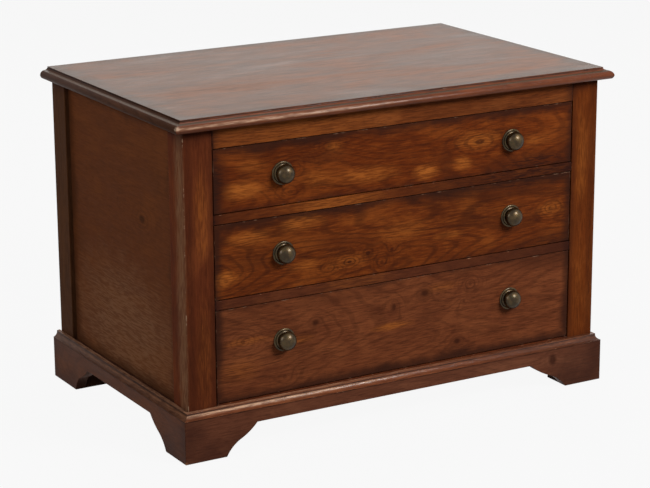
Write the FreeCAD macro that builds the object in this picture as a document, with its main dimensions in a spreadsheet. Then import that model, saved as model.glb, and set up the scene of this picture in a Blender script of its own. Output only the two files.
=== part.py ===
import FreeCAD, Part
import math
import os
import re

import Sketcher

os.makedirs("parts", exist_ok=True)
doc = FreeCAD.newDocument("ChestOfDrawers")

# Driving sizes in millimetres, where a name that ends in share is a plain ratio
sizes = {
    # the case, its corner posts and its front divisions
    "case_width": 900,
    "case_depth": 563.4,
    "case_height": 613,
    "post_width": 58,
    "post_depth": 58,
    "post_ease": 1.5,
    "sill_rise": 97.6,
    "middle_opening": 141.7,
    "upper_opening": 121.3,
    "divider_thickness": 17.5,
    "top_rail_height": 38.8,
    "rail_thickness": 22,
    "tenon_length": 12,
    "tenon_shoulder": 5,
    # the panels that close the sides and the back
    "panel_recess": 9,
    "panel_thickness": 12,
    "panel_tongue": 8,
    "side_rail_rise": 92,
    "side_rail_bed": 85,
    "back_thickness": 8,
    "back_lip": 10,
    # the top board and its moulded edge, each reach beyond the case wall
    "top_thickness": 22,
    "top_overhang": 23,
    "top_rear_reach": 3,
    "top_flat_reach": 7,
    "top_step_drop": 2.8,
    "top_cove_reach": 15.5,
    "top_cove_drop": 6.5,
    "top_nose_drop": 15.5,
    "top_foot_reach": 19.5,
    "top_cove_bend_share": 0.12,
    "top_nose_bend_share": 0.16,
    "top_foot_bend_share": 0.09,
    # the bracket plinth and its moulding, each reach beyond the case wall
    "plinth_thickness": 22,
    "plinth_reach": 14.8,
    "plinth_rear_reach": 8,
    "ledge_rise": 75,
    "plinth_face_rise": 82,
    "fillet_reach": 6.3,
    "fillet_foot_rise": 91.5,
    "arris_rise": 94.4,
    "moulding_rise": 95.4,
    "round_bend_share": 0.16,
    # the bracket feet, measured along the floor from the end of the plinth
    "front_foot": 85,
    "side_front_foot": 82,
    "side_rear_foot": 103,
    "block_setback": 10.8,
    "knee_reach": 27.4,
    "wing_reach": 64,
    "right_knee_reach": 37,
    "right_wing_reach": 84,
    "rear_knee_reach": 17,
    "rear_wing_reach": 59,
    "knee_rise": 28.3,
    "apron_rise": 55.9,
    "knee_bend_share": 0.07,
    "wing_bend_share": 0.05,
    # the drawer runners with their guides, the kickers and the stops
    "runner_ledge": 20,
    "guide_rise": 20,
    "kicker_width": 20,
    "stop_width": 40,
    "stop_depth": 18,
    "stop_height": 6,
    "stop_place_share": 0.56,
    # the drawer boxes
    "front_inset": 1,
    "front_gap": 1.6,
    "front_ease": 1.2,
    "front_thickness": 20,
    "front_lap": 8,
    "side_thickness": 12,
    "side_drop": 4,
    "drawer_rear_gap": 7.4,
    "bottom_thickness": 6,
    "bottom_rise": 10,
    "bottom_tongue": 6,
    "drawer_back_thickness": 12,
    "drawer_back_drop": 12,
    "drawer_back_inset": 8,
    "housing_depth": 4,
    "low_tail_share": 0.24,
    "mid_tail_share": 0.52,
    "high_tail_share": 0.8,
    "tail_width_share": 0.15,
    "tail_neck_share": 0.7,
    # the knobs, each reach from the face of the drawer front
    "knob_place": 250,
    "lower_knob_lift": 12,
    "knob_reach": 25.5,
    "head_radius": 18.5,
    "head_dome": 14.5,
    "head_back": 4.5,
    "quarter_share": 0.7071,
    "head_flank_bend_share": 0.12,
    "neck_radius": 5.5,
    "neck_foot_radius": 8,
    "neck_foot_height": 2.5,
    "neck_bend_share": 0.18,
    "plate_radius": 22,
    "plate_lip": 1.4,
    "plate_rim_radius": 19,
    "plate_rim_height": 2.8,
    "plate_groove_radius": 18,
    "plate_groove_height": 2,
    "plate_dome_radius": 13.5,
    "plate_dome_height": 4.2,
    "plate_hub_height": 3.4,
    "plate_bend_share": 0.15,
    "knob_screw_radius": 2,
    "knob_screw_bite": 14,
    "knob_screw_head_radius": 5,
    "knob_screw_head_height": 2.5,
    # the wood screws of the top and the back
    "wood_screw_length": 30,
    "wood_screw_radius": 2.2,
    "wood_screw_head_radius": 4.4,
    "wood_screw_head_height": 3,
    "wood_screw_bite": 12,
    "rail_screw_place": 250,
    "back_screw_low_share": 0.12,
    "back_screw_high_share": 0.88,
    # clearances
    "joint_gap": 0.2,
    "slide_gap": 0.3,
    "overrun": 5,
}

# Planes and heights that follow from the sizes above
planes = {
    "half_width": "case_width / 2",
    "post_face": "half_width - post_width",
    "panel_face": "half_width - panel_recess - panel_thickness",
    "panel_front": "half_width - panel_recess",
    "rear_post_front": "case_depth - post_depth",
    "back_face": "case_depth - back_thickness",
    "rear_rail_front": "back_face - rail_thickness",
    "lower_floor": "sill_rise",
    "top_rail_foot": "case_height - top_rail_height",
    "lower_opening": "top_rail_foot - upper_opening - middle_opening - 2 * divider_thickness - sill_rise",
    "middle_floor": "lower_floor + lower_opening + divider_thickness",
    "upper_floor": "middle_floor + middle_opening + divider_thickness",
    "top_face": "case_height + top_thickness",
    "plinth_end": "half_width + plinth_reach",
    "plinth_back": "plinth_end - plinth_thickness",
    "plinth_ledge": "plinth_thickness - plinth_reach",
    "plinth_rear_end": "case_depth + plinth_rear_reach",
    "drawer_half": "post_face - front_gap",
    "drawer_inner": "drawer_half - side_thickness",
    "front_back": "front_inset + front_thickness",
    "drawer_end": "rear_rail_front - drawer_rear_gap",
    "bottom_top": "bottom_rise + bottom_thickness",
    "crown_slope": "head_dome * (1 - quarter_share) / (quarter_share * head_radius)",
    "crown_bend_share": "(sqrt(1 + crown_slope * crown_slope) - 1) / (2 * crown_slope)",
    "front_reach": "max(knob_reach - front_inset; top_overhang)",
    "rear_reach": "max(plinth_rear_reach; top_rear_reach)",
    "front_plane": "(front_reach - case_depth - rear_reach) / 2",
}

sheet = doc.addObject("Spreadsheet::Sheet", "Sizes")
cells = {name: str(value) for name, value in sizes.items()}
cells.update({name: f"={formula}" for name, formula in planes.items()})
for row, (name, content) in enumerate(cells.items(), start=1):
    sheet.set(f"A{row}", name)
    sheet.set(f"B{row}", content)
    sheet.setAlias(f"B{row}", name)
doc.recompute()

pieces = []
touching = FreeCAD.Base.Precision.approximation()
levels = ("lower", "middle", "upper")
sides = {"left": -1, "right": 1}


def sized(formula):
    """A formula of size names, as the sheet's cells are called from other objects."""
    return re.sub(r"[a-z_]+", lambda word: f"Sizes.{word[0]}" if word[0] in cells else word[0], formula)


def bind(item, place, formula):
    """Tie one property of an object to a formula of sizes."""
    item.setExpression(place, sized(formula))


def value(formula):
    """What a formula of sizes comes to now."""
    return float(sheet.evalExpression(sized(formula)))


def piece(label, across="0", along="0", up="0"):
    """A body of its own, placed from the middle of the case front at the floor."""
    body = doc.addObject("PartDesign::Body", label)
    body.Label = label
    bind(body, "Placement.Base.x", across)
    bind(body, "Placement.Base.y", f"front_plane + {along}")
    bind(body, "Placement.Base.z", up)
    pieces.append(body)
    return body


def mirrored(side, low, high):
    """The range low to high on the right side, or its mirror image on the left."""
    return (low, high) if side > 0 else (f"-({high})", f"-({low})")


def placed(side, formula):
    """A place on the right side, or its mirror image on the left."""
    return formula if side > 0 else f"-({formula})"


def box(body, kind, name, across, along, up):
    """Add or cut a box that fills three ranges."""
    feature = body.newObject(f"PartDesign::{kind}Box", name)
    for axis, length, (low, high) in zip("xyz", ("Length", "Width", "Height"), (across, along, up)):
        bind(feature, length, f"({high}) - ({low})")
        bind(feature, f"Placement.Base.{axis}", low)
    return feature


def wedge(body, kind, name, across, along, wide, narrow):
    """Add or cut a dovetail, wide at the near end of its length and narrow at the far end."""
    feature = body.newObject(f"PartDesign::{kind}Wedge", name)
    for prefix in ("X", "X2"):
        bind(feature, f"{prefix}min", across[0])
        bind(feature, f"{prefix}max", across[1])
    bind(feature, "Ymin", along[0])
    bind(feature, "Ymax", along[1])
    for prefix, (low, high) in (("Z", wide), ("Z2", narrow)):
        bind(feature, f"{prefix}min", low)
        bind(feature, f"{prefix}max", high)
    return feature


def pin(body, kind, name, direction, radius, length, place, tip_radius=None):
    """Add or cut a cylinder, or a cone where it ends in another radius, along a direction."""
    form = "Cylinder" if tip_radius is None else "Cone"
    feature = body.newObject(f"PartDesign::{kind}{form}", name)
    turn = FreeCAD.Rotation(FreeCAD.Vector(0, 0, 1), FreeCAD.Vector(*direction))
    feature.Placement = FreeCAD.Placement(FreeCAD.Vector(), turn)
    if tip_radius is None:
        bind(feature, "Radius", radius)
    else:
        bind(feature, "Radius1", radius)
        bind(feature, "Radius2", tip_radius)
    bind(feature, "Height", length)
    for axis, formula in zip("xyz", place):
        bind(feature, f"Placement.Base.{axis}", formula)
    return feature


def outline(body, name, plane, corners):
    """A closed outline through corners, each (across, up) or (across, up, bend), where bend is
    the rise of the arc that leads to the corner, to the left, as a share of its chord."""
    sketch = body.newObject("Sketcher::SketchObject", name)
    support = [item for item in body.Origin.OriginFeatures if item.Role == plane][0]
    sketch.AttachmentSupport = (support, [""])
    sketch.MapMode = "FlatFace"
    spots = [FreeCAD.Vector(value(corner[0]), value(corner[1]), 0) for corner in corners]
    ends = []
    for index, corner in enumerate(corners):
        start, stop = spots[index - 1], spots[index]
        if len(corner) == 2:
            line = sketch.addGeometry(Part.LineSegment(start, stop))
            ends.append((line, 1, 2))
            continue
        bend = value(corner[2])
        chord = stop - start
        centre = (start + stop) / 2 + FreeCAD.Vector(-chord.y, chord.x, 0) * (bend / 2 - 1 / (8 * bend))
        turns = [math.atan2(spot.y - centre.y, spot.x - centre.x) for spot in (start, stop)]
        if bend > 0:
            turns.reverse()
        if turns[1] < turns[0]:
            turns[1] += 2 * math.pi
        circle = Part.Circle(centre, FreeCAD.Vector(0, 0, 1), centre.distanceToPoint(start))
        bow = sketch.addGeometry(Part.ArcOfCircle(circle, *turns))
        ends.append((bow, 2, 1) if bend > 0 else (bow, 1, 2))
        before = corners[index - 1]
        length = f"sqrt(pow({corner[0]} - ({before[0]}); 2) + pow({corner[1]} - ({before[1]}); 2))"
        rise = f"abs({corner[2]})"
        radius = sketch.addConstraint(Sketcher.Constraint("Radius", bow, circle.Radius))
        bind(sketch, f"Constraints[{radius}]", f"{length} * (1 / (8 * {rise}) + {rise} / 2)")
    for index, (edge, first, last) in enumerate(ends):
        before = ends[index - 1]
        sketch.addConstraint(Sketcher.Constraint("Coincident", before[0], before[2], edge, first))
        for kind, spot, formula in zip(
            ("DistanceX", "DistanceY"), (spots[index].x, spots[index].y), corners[index]
        ):
            tie = sketch.addConstraint(Sketcher.Constraint(kind, -1, 1, edge, last, spot))
            bind(sketch, f"Constraints[{tie}]", formula)
    return sketch


def pad(body, name, plane, corners, ahead, behind):
    """A board of one section, reaching both ways from the section's plane."""
    feature = body.newObject("PartDesign::Pad", name)
    feature.Profile = outline(body, f"{name}_outline", plane, corners)
    feature.SideType = "Two sides"
    bind(feature, "Length", ahead)
    bind(feature, "Length2", behind)
    return feature


def pocket(body, name, plane, corners):
    """A cut of one section that goes right through."""
    feature = body.newObject("PartDesign::Pocket", name)
    feature.Profile = outline(body, f"{name}_outline", plane, corners)
    feature.Type = "ThroughAll"
    feature.SideType = "Symmetric"
    return feature


def turned(body, name, corners, across="0"):
    """A piece turned about a line that runs from front to back, each corner (radius, along)."""
    feature = body.newObject("PartDesign::Revolution", name)
    sketch = outline(body, f"{name}_outline", "XY_Plane", corners)
    bind(sketch, "AttachmentOffset.Base.x", across)
    feature.Profile = sketch
    feature.ReferenceAxis = (sketch, ["V_Axis"])
    return feature


def eased(body, base, radius, chosen):
    """Round the edges of a body's feature that lie where chosen says."""
    doc.recompute()
    names = [
        f"Edge{number}"
        for number, edge in enumerate(base.Shape.Edges, start=1)
        if all(chosen(vertex.Point) for vertex in edge.Vertexes)
    ]
    feature = body.newObject("PartDesign::Fillet", "eased_edges")
    feature.Base = (base, names)
    bind(feature, "Radius", radius)
    return feature


# Corner posts, square stock that stands on the foot blocks and on the ledge of the plinth
upright = ("0", "rail_thickness")
flat = ("0", "post_depth")
behind = ("rear_rail_front", "back_face")
rails = {
    "front_top_rail": (upright, ("top_rail_foot", "case_height")),
    "front_upper_divider_rail": (flat, ("upper_floor - divider_thickness", "upper_floor")),
    "front_lower_divider_rail": (flat, ("middle_floor - divider_thickness", "middle_floor")),
    "front_bottom_rail": (flat, ("ledge_rise", "lower_floor")),
    "rear_top_rail": (behind, ("top_rail_foot", "case_height")),
    "rear_bottom_rail": (behind, ("ledge_rise", "lower_floor")),
}
full_rise = ("ledge_rise", "case_height")
through = ("ledge_rise - overrun", "case_height + overrun")
post_ranges = {"front": flat, "rear": ("rear_post_front", "case_depth")}
grooves = {
    "front": ("post_depth - panel_tongue - joint_gap", "post_depth + overrun"),
    "rear": ("rear_post_front - overrun", "rear_post_front + panel_tongue + joint_gap"),
}
middle_share = "(back_screw_low_share + back_screw_high_share) / 2"
back_screw_rises = [
    f"ledge_rise + {share} * (case_height - ledge_rise)"
    for share in ("back_screw_low_share", middle_share, "back_screw_high_share")
]
for end, post_range in post_ranges.items():
    for hand, side in sides.items():
        post = piece(f"{end}_{hand}_post")
        across = mirrored(side, "post_face", "half_width")
        stock = box(post, "Additive", "stock", across, post_range, full_rise)
        corner = FreeCAD.Vector(value(placed(side, "half_width")), 0, 0)
        if end == "front":
            eased(post, stock, "post_ease",
                  lambda spot: corner.isEqual(FreeCAD.Vector(spot.x, spot.y, 0), touching))
        across = mirrored(side, "panel_face - joint_gap", "panel_front + joint_gap")
        box(post, "Subtractive", "panel_groove", across, grooves[end], through)
        if end == "rear":
            across = mirrored(side, "post_face - overrun", "half_width - back_lip")
            box(post, "Subtractive", "back_rebate", across, ("back_face", "case_depth + overrun"), through)
            for count, rise in enumerate(back_screw_rises):
                pin(post, "Subtractive", f"back_screw_hole_{count}", (0, -1, 0),
                    "wood_screw_radius + joint_gap", "wood_screw_length + joint_gap + overrun",
                    (placed(side, "post_face + post_width / 2"), "case_depth + overrun", rise))
        for name, (along, up) in rails.items():
            if name.startswith(end):
                box(post, "Subtractive", f"{name}_mortise",
                    mirrored(side, "post_face - overrun", "post_face + tenon_length + joint_gap"),
                    (f"{along[0]} + tenon_shoulder - joint_gap", f"{along[1]} - tenon_shoulder + joint_gap"),
                    (f"{up[0]} + tenon_shoulder - joint_gap", f"{up[1]} - tenon_shoulder + joint_gap"))

# Rails between the posts, each with a tenon at both ends
rail_screw_places = ("-rail_screw_place", "0", "rail_screw_place")
screw_head_rise = "case_height + wood_screw_bite - wood_screw_length"
for name, (along, up) in rails.items():
    rail = piece(name)
    box(rail, "Additive", "stock", ("-post_face", "post_face"), along, up)
    box(rail, "Additive", "tenons", ("-post_face - tenon_length", "post_face + tenon_length"),
        (f"{along[0]} + tenon_shoulder", f"{along[1]} - tenon_shoulder"),
        (f"{up[0]} + tenon_shoulder", f"{up[1]} - tenon_shoulder"))
    middle = f"({along[0]} + {along[1]}) / 2"
    if "top" in name:
        for count, place in enumerate(rail_screw_places):
            pin(rail, "Subtractive", f"screw_hole_{count}", (0, 0, 1), "wood_screw_radius + joint_gap",
                "top_rail_height + 2 * overrun", (place, middle, "top_rail_foot - overrun"))
            pin(rail, "Subtractive", f"head_hole_{count}", (0, 0, 1), "wood_screw_head_radius + joint_gap",
                f"{screw_head_rise} + wood_screw_head_height + joint_gap - top_rail_foot + overrun",
                (place, middle, "top_rail_foot - overrun"))

# The side panels, each let into its posts and seated on a rail behind the moulding
for hand, side in sides.items():
    panel = piece(f"{hand}_side_panel")
    between = ("post_depth - panel_tongue", "rear_post_front + panel_tongue")
    box(panel, "Additive", "board", mirrored(side, "panel_face", "panel_front"), between,
        ("side_rail_bed", "case_height"))
    rail = piece(f"{hand}_side_rail")
    box(rail, "Additive", "lip", mirrored(side, "panel_front", "half_width"),
        ("post_depth", "rear_post_front"), ("ledge_rise", "side_rail_rise"))
    box(rail, "Additive", "bed", mirrored(side, "panel_face", "panel_front"), between,
        ("ledge_rise", "side_rail_bed"))

# The back panel, screwed into the rebates of the rear posts
back = piece("back_panel")
box(back, "Additive", "board", ("-half_width + back_lip + joint_gap", "half_width - back_lip - joint_gap"),
    ("back_face", "case_depth"), full_rise)
back_screw_places = ("-(post_face + post_width / 2)", "post_face + post_width / 2")
for column, place in enumerate(back_screw_places):
    for row, rise in enumerate(back_screw_rises):
        pin(back, "Subtractive", f"screw_hole_{column}_{row}", (0, 1, 0), "wood_screw_radius + joint_gap",
            "back_thickness + 2 * overrun", (place, "back_face - overrun", rise))
        pin(back, "Subtractive", f"sink_{column}_{row}", (0, 1, 0), "wood_screw_radius + joint_gap",
            "wood_screw_head_height", (place, "case_depth - wood_screw_head_height", rise),
            "wood_screw_head_radius + joint_gap")

# The top board, its moulded edge run round the front and the mitred side edges
def edge_points(wall, turn):
    """The moulded edge from the flat of the top down, turn being the sign that leads outward."""
    inward = "-" if turn == "+" else "+"
    return [
        (f"{wall} {turn} top_flat_reach", "top_face"),
        (f"{wall} {turn} top_flat_reach", "top_face - top_step_drop"),
        (f"{wall} {turn} top_cove_reach", "top_face - top_cove_drop", f"0 {inward} top_cove_bend_share"),
        (f"{wall} {turn} top_overhang", "top_face - top_nose_drop", f"0 {turn} top_nose_bend_share"),
        (f"{wall} {turn} top_foot_reach", "case_height", f"0 {turn} top_foot_bend_share"),
    ]


top = piece("top_board")
section = edge_points("0", "-") + [
    ("case_depth + top_rear_reach", "case_height"),
    ("case_depth + top_rear_reach", "top_face"),
]
half_board = "half_width + top_overhang + overrun"
pad(top, "board", "YZ_Plane", section, half_board, half_board)
for hand, side in sides.items():
    turn = "+" if side > 0 else "-"
    wall = placed(side, "half_width")
    beyond = placed(side, f"{half_board} + overrun")
    above = (f"{wall} {turn} top_flat_reach", "top_face + overrun")
    below = (f"{wall} {turn} top_foot_reach", "case_height - overrun")
    waste = [above] + edge_points(wall, turn)[1:]
    waste += [below, (beyond, "case_height - overrun"), (beyond, "top_face + overrun")]
    pocket(top, f"{hand}_edge", "XZ_Plane", waste)
rail_middles = {"front": "rail_thickness / 2", "rear": "(rear_rail_front + back_face) / 2"}
for end, middle in rail_middles.items():
    for count, place in enumerate(rail_screw_places):
        pin(top, "Subtractive", f"{end}_screw_hole_{count}", (0, 0, 1), "wood_screw_radius + joint_gap",
            "wood_screw_bite + joint_gap + overrun", (place, middle, "case_height - overrun"))

# Wood screws that hold the top to its rails and the back to the posts
screws = piece("case_screws")
for end, middle in rail_middles.items():
    for count, place in enumerate(rail_screw_places):
        pin(screws, "Additive", f"{end}_shank_{count}", (0, 0, 1), "wood_screw_radius",
            "wood_screw_length", (place, middle, screw_head_rise))
        pin(screws, "Additive", f"{end}_head_{count}", (0, 0, 1), "wood_screw_head_radius",
            "wood_screw_head_height", (place, middle, screw_head_rise), "wood_screw_radius")
for column, place in enumerate(back_screw_places):
    for row, rise in enumerate(back_screw_rises):
        pin(screws, "Additive", f"back_shank_{column}_{row}", (0, 1, 0), "wood_screw_radius",
            "wood_screw_length", (place, "case_depth - wood_screw_length", rise))
        pin(screws, "Additive", f"back_head_{column}_{row}", (0, 1, 0), "wood_screw_radius",
            "wood_screw_head_height", (place, "case_depth - wood_screw_head_height", rise),
            "wood_screw_head_radius")

# The plinth, three moulded boards with bracket feet, mitred at the front corners
def plinth_points(wall, turn):
    """The section of a plinth board, turn being the sign that leads outward from a wall."""
    inward = "-" if turn == "+" else "+"
    return [
        (f"{wall} {turn} plinth_reach {inward} plinth_thickness", "0"),
        (f"{wall} {turn} plinth_reach", "0"),
        (f"{wall} {turn} plinth_reach", "plinth_face_rise"),
        (f"{wall} {turn} fillet_reach", "fillet_foot_rise", f"0 {turn} round_bend_share"),
        (f"{wall} {turn} fillet_reach", "arris_rise"),
        (wall, "moulding_rise"),
        (wall, "ledge_rise"),
        (f"{wall} {turn} plinth_reach {inward} plinth_thickness", "ledge_rise"),
    ]


def arch_points(start, stop, start_knee, start_wing, stop_knee, stop_wing):
    """The opening under a board, between the feet that end at start and stop."""
    return [
        (start, "-overrun"),
        (start, "0"),
        (f"{start} + {start_knee}", "knee_rise", "knee_bend_share"),
        (f"{start} + {start_wing}", "apron_rise", "0 - wing_bend_share"),
        (f"{stop} - {stop_wing}", "apron_rise"),
        (f"{stop} - {stop_knee}", "knee_rise", "0 - wing_bend_share"),
        (stop, "0", "knee_bend_share"),
        (stop, "-overrun"),
    ]


plinth_front = piece("plinth_front")
pad(plinth_front, "board", "YZ_Plane", plinth_points("0", "-"), "plinth_end", "plinth_end")
pocket(plinth_front, "arch", "XZ_Plane", arch_points(
    "front_foot - plinth_end", "plinth_end - front_foot",
    "knee_reach", "wing_reach", "right_knee_reach", "right_wing_reach"))
mitre = "plinth_thickness + overrun"
for hand, side in sides.items():
    pocket(plinth_front, f"{hand}_mitre", "XY_Plane", [
        (placed(side, "plinth_end + overrun"), "-plinth_reach - overrun"),
        (placed(side, f"plinth_end - ({mitre})"), f"{mitre} - plinth_reach"),
        (placed(side, "plinth_end + overrun"), f"{mitre} - plinth_reach"),
    ])
    board = piece(f"plinth_{hand}")
    turn = "+" if side > 0 else "-"
    section = plinth_points(placed(side, "half_width"), turn)
    pad(board, "board", "XZ_Plane", section, "plinth_reach", "plinth_rear_end")
    pocket(board, "arch", "YZ_Plane", arch_points(
        "side_front_foot - plinth_reach", "plinth_rear_end - side_rear_foot",
        "knee_reach", "wing_reach", "rear_knee_reach", "rear_wing_reach"))
    pocket(board, "mitre", "XY_Plane", [
        (placed(side, "plinth_end + overrun"), "-plinth_reach - overrun"),
        (placed(side, f"plinth_end - ({mitre})"), f"{mitre} - plinth_reach"),
        (placed(side, f"plinth_end - ({mitre})"), "-plinth_reach - overrun"),
    ])

# Foot blocks behind the brackets, which carry the posts and reach the floor
block_ranges = {
    "front": ("plinth_ledge", "post_depth - block_setback"),
    "rear": ("plinth_rear_end - side_rear_foot", "plinth_rear_end"),
}
for end, block_range in block_ranges.items():
    for hand, side in sides.items():
        block = piece(f"{end}_{hand}_foot_block")
        across = mirrored(side, "plinth_end - front_foot", "plinth_back")
        box(block, "Additive", "block", across, block_range, ("0", "ledge_rise"))

# Drawer runners, each with the guide that keeps the drawer straight between the posts
for level in levels:
    for hand, side in sides.items():
        runner = piece(f"{level}_{hand}_runner", up=f"{level}_floor")
        across = mirrored(side, "post_face - runner_ledge", "panel_face")
        box(runner, "Additive", "bearer", across, ("post_depth", "rear_post_front"),
            ("-divider_thickness", "0"))
        across = mirrored(side, "post_face - runner_ledge", "post_face")
        box(runner, "Additive", "tail", across, ("rear_post_front", "rear_rail_front"),
            ("-divider_thickness", "0"))
        across = mirrored(side, "post_face", "panel_face")
        box(runner, "Additive", "guide", across, ("post_depth", "rear_post_front"), ("0", "guide_rise"))

# Kickers under the top, which stop the upper drawer from tipping as it comes out
for hand, side in sides.items():
    kicker = piece(f"{hand}_kicker")
    across = mirrored(side, "post_face - kicker_width", "post_face")
    box(kicker, "Additive", "strip", across, ("rail_thickness", "rear_rail_front"),
        ("top_rail_foot", "case_height"))

# Stops on the rails, a pair behind each drawer front
stops = piece("drawer_stops")
for level in levels:
    for hand, side in sides.items():
        place = "stop_place_share * post_face"
        across = mirrored(side, f"{place} - stop_width / 2", f"{place} + stop_width / 2")
        along = ("front_back + slide_gap", "front_back + slide_gap + stop_depth")
        box(stops, "Additive", f"{level}_{hand}_stop", across, along,
            (f"{level}_floor", f"{level}_floor + stop_height"))

# Three drawers, each of a front, two dovetailed sides, a back, a bottom and a pair of knobs
tail_shares = ("low_tail_share", "mid_tail_share", "high_tail_share")
for level in levels:
    opening = f"{level}_opening"
    floor = f"{level}_floor"
    box_rise = ("slide_gap", f"{opening} - side_drop")
    knob_rise = f"{opening} / 2"
    if level == "lower":
        knob_rise += " + lower_knob_lift"

    front = piece(f"{level}_drawer_front", up=floor)
    stock = box(front, "Additive", "board", ("-drawer_half", "drawer_half"), ("front_inset", "front_back"),
                ("front_gap", f"{opening} - front_gap"))
    face = value("front_inset")
    eased(front, stock, "front_ease", lambda spot: abs(spot.y - face) < touching)
    reach = "drawer_inner + bottom_tongue + joint_gap"
    box(front, "Subtractive", "bottom_groove", (f"-({reach})", reach),
        ("front_back - bottom_tongue - joint_gap", "front_back + overrun"),
        ("bottom_rise - joint_gap", "bottom_top + joint_gap"))
    for hand, side in sides.items():
        for count, share in enumerate(tail_shares):
            middle = f"{share} * {opening}"
            wide = f"tail_width_share * {opening} / 2 + joint_gap"
            narrow = f"tail_width_share * tail_neck_share * {opening} / 2 + joint_gap"
            wedge(front, "Subtractive", f"{hand}_socket_{count}",
                  mirrored(side, "drawer_inner - joint_gap", "drawer_half + overrun"),
                  ("front_inset + front_lap - joint_gap", "front_back"),
                  (f"{middle} - ({wide})", f"{middle} + {wide}"),
                  (f"{middle} - ({narrow})", f"{middle} + {narrow}"))
        pin(front, "Subtractive", f"{hand}_screw_hole", (0, 1, 0), "knob_screw_radius + joint_gap",
            "front_thickness + 2 * overrun",
            (placed(side, "knob_place"), "front_inset - overrun", knob_rise))

    for hand, side in sides.items():
        board = piece(f"{level}_drawer_{hand}_side", up=floor)
        across = mirrored(side, "drawer_inner", "drawer_half")
        box(board, "Additive", "board", across, ("front_back", "drawer_end"), box_rise)
        for count, share in enumerate(tail_shares):
            middle = f"{share} * {opening}"
            wide = f"tail_width_share * {opening} / 2"
            narrow = f"tail_width_share * tail_neck_share * {opening} / 2"
            wedge(board, "Additive", f"tail_{count}", across, ("front_inset + front_lap", "front_back"),
                  (f"{middle} - {wide}", f"{middle} + {wide}"),
                  (f"{middle} - {narrow}", f"{middle} + {narrow}"))
        box(board, "Subtractive", "bottom_groove",
            mirrored(side, "drawer_inner - overrun", "drawer_inner + bottom_tongue + joint_gap"),
            ("front_back - overrun", "drawer_end + overrun"),
            ("bottom_rise - joint_gap", "bottom_top + joint_gap"))
        box(board, "Subtractive", "back_housing",
            mirrored(side, "drawer_inner - overrun", "drawer_inner + housing_depth + joint_gap"),
            ("drawer_end - drawer_back_inset - drawer_back_thickness - joint_gap",
             "drawer_end - drawer_back_inset + joint_gap"),
            ("bottom_top", f"{opening}"))

    rear = piece(f"{level}_drawer_back", up=floor)
    box(rear, "Additive", "board", ("-drawer_inner - housing_depth", "drawer_inner + housing_depth"),
        ("drawer_end - drawer_back_inset - drawer_back_thickness", "drawer_end - drawer_back_inset"),
        ("bottom_top + joint_gap", f"{opening} - drawer_back_drop"))
    bottom = piece(f"{level}_drawer_bottom", up=floor)
    box(bottom, "Additive", "board", ("-drawer_inner - bottom_tongue", "drawer_inner + bottom_tongue"),
        ("front_back - bottom_tongue", "drawer_end"), ("bottom_rise", "bottom_top"))

    # the knobs on their stepped round plates, each screwed on from inside the drawer
    plates = piece(f"{level}_backplates", along="front_inset", up=f"{floor} + {knob_rise}")
    knob_screws = piece(f"{level}_knob_screws", along="front_inset", up=f"{floor} + {knob_rise}")
    for hand, side in sides.items():
        place = placed(side, "knob_place")
        turned(plates, f"{hand}_plate", [
            ("knob_screw_radius + joint_gap", "0"),
            ("plate_radius", "0"),
            ("plate_radius", "-plate_lip"),
            ("plate_rim_radius", "-plate_rim_height", "plate_bend_share"),
            ("plate_groove_radius", "-plate_groove_height"),
            ("plate_dome_radius", "-plate_dome_height", "plate_bend_share"),
            ("neck_foot_radius + joint_gap", "-plate_hub_height"),
            ("knob_screw_radius + joint_gap", "-plate_hub_height"),
        ], place)
        knob = piece(f"{level}_{hand}_knob", across=place, along="front_inset", up=f"{floor} + {knob_rise}")
        rise = "knob_reach - head_dome"
        turned(knob, "knob", [
            ("knob_screw_radius + joint_gap", "-plate_hub_height"),
            ("neck_foot_radius", "-plate_hub_height"),
            ("neck_radius", "-plate_hub_height - neck_foot_height", "0 - neck_bend_share"),
            ("quarter_share * head_radius", f"-({rise} - quarter_share * head_back)"),
            ("head_radius", f"-({rise})", "head_flank_bend_share"),
            ("quarter_share * head_radius", f"-({rise} + quarter_share * head_dome)",
             "head_flank_bend_share"),
            ("0", "-knob_reach", "crown_bend_share"),
            ("0", "-knob_screw_bite - joint_gap"),
            ("knob_screw_radius + joint_gap", "-knob_screw_bite - joint_gap"),
        ])
        pin(knob_screws, "Additive", f"{hand}_shank", (0, -1, 0), "knob_screw_radius",
            "knob_screw_bite + front_thickness", (place, "front_thickness", "0"))
        pin(knob_screws, "Additive", f"{hand}_head", (0, 1, 0), "knob_screw_head_radius",
            "knob_screw_head_height", (place, "front_thickness", "0"))

# Each piece is sound before any is written
doc.recompute()
for item in doc.Objects:
    if "Invalid" in item.State or "Error" in item.State:
        raise RuntimeError(f"{item.Label} of {item.getParentGeoFeatureGroup()} did not build")
for body in pieces:
    if body.Shape.isNull() or not body.Shape.isValid() or not body.Shape.Solids:
        raise RuntimeError(f"{body.Label} is not a sound solid")
for body in pieces:
    body.Shape.exportStep(f"parts/{body.Label}.step")
print(f"{len(pieces)} pieces written")
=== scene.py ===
import math

import bmesh
import bpy
from mathutils import Euler, Matrix, Vector


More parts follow.
